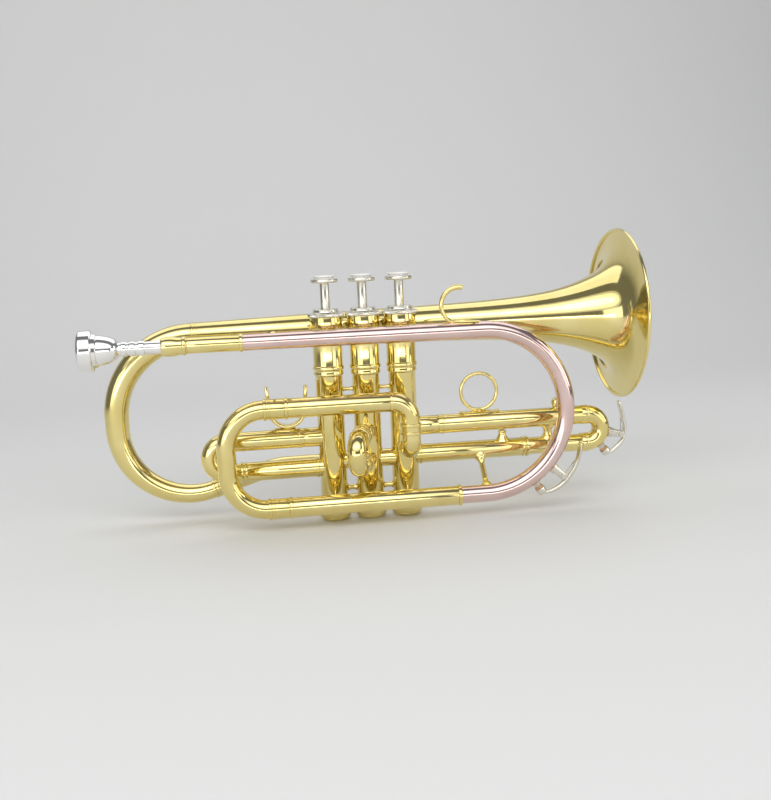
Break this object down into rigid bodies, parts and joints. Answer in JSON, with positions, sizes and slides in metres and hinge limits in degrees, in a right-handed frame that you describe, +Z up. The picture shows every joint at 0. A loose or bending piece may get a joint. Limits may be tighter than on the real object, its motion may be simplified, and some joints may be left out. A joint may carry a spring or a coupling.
{
  "type": "cornet",
  "caption": "Long-pattern B-flat cornet with piston valves, rose-brass leadpipe, tuning and valve slides, water keys and a removable mouthpiece.",
  "frame": {"origin": "centre of the second valve's bottom cap, on its lower face", "axes": "+X along the bell's axis towards the bell's mouth, +Y towards the player's left, where the bell lies, +Z up along the valves"},
  "size_m": [0.379, 0.1341, 0.194],
  "materials": {
    "yellow_brass": "clear-lacquered, polished",
    "rose_brass": "clear-lacquered rose brass, polished",
    "nickel": "polished nickel",
    "silver": "polished silver plate",
    "pearl": "polished mother-of-pearl",
    "felt": "pressed wool felt",
    "cork": "natural cork",
    "spring_steel": "drawn wire"
  },
  "bodies": {
    "horn": {"mouthpiece_receiver": "yellow_brass", "leadpipe_front": "yellow_brass", "tube_ferrules": "yellow_brass", "tuning_lower_sleeve": "yellow_brass", "tuning_upper_sleeve": "yellow_brass", "tuning_elbow": "yellow_brass", "valve_casing_1": "yellow_brass", "valve_casing_2": "yellow_brass", "valve_casing_3": "yellow_brass", "bottom_caps": "yellow_brass", "intervalve_tubes": "yellow_brass", "casing_studs": "yellow_brass", "first_slide_tubes": "yellow_brass", "third_slide_tubes": "yellow_brass", "second_slide_tubes": "yellow_brass", "bell": "yellow_brass", "bell_rim_wire": "yellow_brass", "bell_bow": "yellow_brass", "bell_tail": "yellow_brass", "bow_ferrules": "yellow_brass", "braces": "yellow_brass", "leadpipe": "rose_brass", "top_caps": "nickel", "cap_felts": "felt", "valve_guides": "nickel", "finger_hook": "yellow_brass", "lead_key_saddle": "nickel", "lead_key_screw": "nickel"},
    "mouthpiece": {"mouthpiece": "silver"},
    "tuning_slide": {"tuning_crook": "yellow_brass", "tuning_crook_ferrules": "yellow_brass"},
    "first_slide": {"first_slide_crook": "yellow_brass", "thumb_saddle": "yellow_brass"},
    "second_slide": {"second_slide_crook": "yellow_brass"},
    "third_slide": {"third_slide_crook": "yellow_brass", "third_slide_stay": "yellow_brass", "finger_ring": "yellow_brass", "third_key_saddle": "nickel", "third_key_screw": "nickel"},
    "lead_key": {"lead_water_key": "nickel", "lead_key_cork": "cork", "lead_key_spring": "spring_steel"},
    "third_key": {"third_water_key": "nickel", "third_key_cork": "cork", "third_key_spring": "spring_steel"},
    "valve_1": {"piston_1": "nickel", "stem_1": "nickel", "finger_button_1": "nickel", "pearl_1": "pearl", "valve_spring_1": "spring_steel"},
    "valve_2": {"piston_2": "nickel", "stem_2": "nickel", "finger_button_2": "nickel", "pearl_2": "pearl", "valve_spring_2": "spring_steel"},
    "valve_3": {"piston_3": "nickel", "stem_3": "nickel", "finger_button_3": "nickel", "pearl_3": "pearl", "valve_spring_3": "spring_steel"}
  },
  "joints": [
    {"name": "mouthpiece_pull", "type": "slide", "parent": "horn", "child": "mouthpiece", "axis": [-1, 0, 0], "range_m": [0, 0.022]},
    {"name": "tuning_slide_pull", "type": "slide", "parent": "horn", "child": "tuning_slide", "axis": [-1, 0, 0], "range_m": [0, 0.045]},
    {"name": "first_slide_pull", "type": "slide", "parent": "horn", "child": "first_slide", "axis": [-1, 0, 0], "range_m": [0, 0.03]},
    {"name": "second_slide_pull", "type": "slide", "parent": "horn", "child": "second_slide", "axis": [-0.2924, -0.9563, 0], "range_m": [0, 0.01]},
    {"name": "third_slide_pull", "type": "slide", "parent": "horn", "child": "third_slide", "axis": [1, 0, 0], "range_m": [0, 0.045]},
    {"name": "valve_1_press", "type": "slide", "parent": "horn", "child": "valve_1", "axis": [0, 0, -1], "range_m": [0, 0.0164], "stiffness_N_per_m": 60, "springref_m": -0.02, "deforming": ["valve_spring_1"]},
    {"name": "valve_2_press", "type": "slide", "parent": "horn", "child": "valve_2", "axis": [0, 0, -1], "range_m": [0, 0.0164], "stiffness_N_per_m": 60, "springref_m": -0.02, "deforming": ["valve_spring_2"]},
    {"name": "valve_3_press", "type": "slide", "parent": "horn", "child": "valve_3", "axis": [0, 0, -1], "range_m": [0, 0.0164], "stiffness_N_per_m": 60, "springref_m": -0.02, "deforming": ["valve_spring_3"]},
    {"name": "lead_key_rock", "type": "hinge", "parent": "horn", "child": "lead_key", "pos_m": [0.1324, -0.024, 0.02477], "axis": [0, -1, 0], "range_deg": [0, 12], "stiffness_Nm_per_rad": 0.03, "springref_deg": -28.65},
    {"name": "third_key_rock", "type": "hinge", "parent": "third_slide", "child": "third_key", "pos_m": [0.18365, 0, 0.04661], "axis": [0, -1, 0], "range_deg": [0, 12], "stiffness_Nm_per_rad": 0.03, "springref_deg": -28.65}
  ]
}
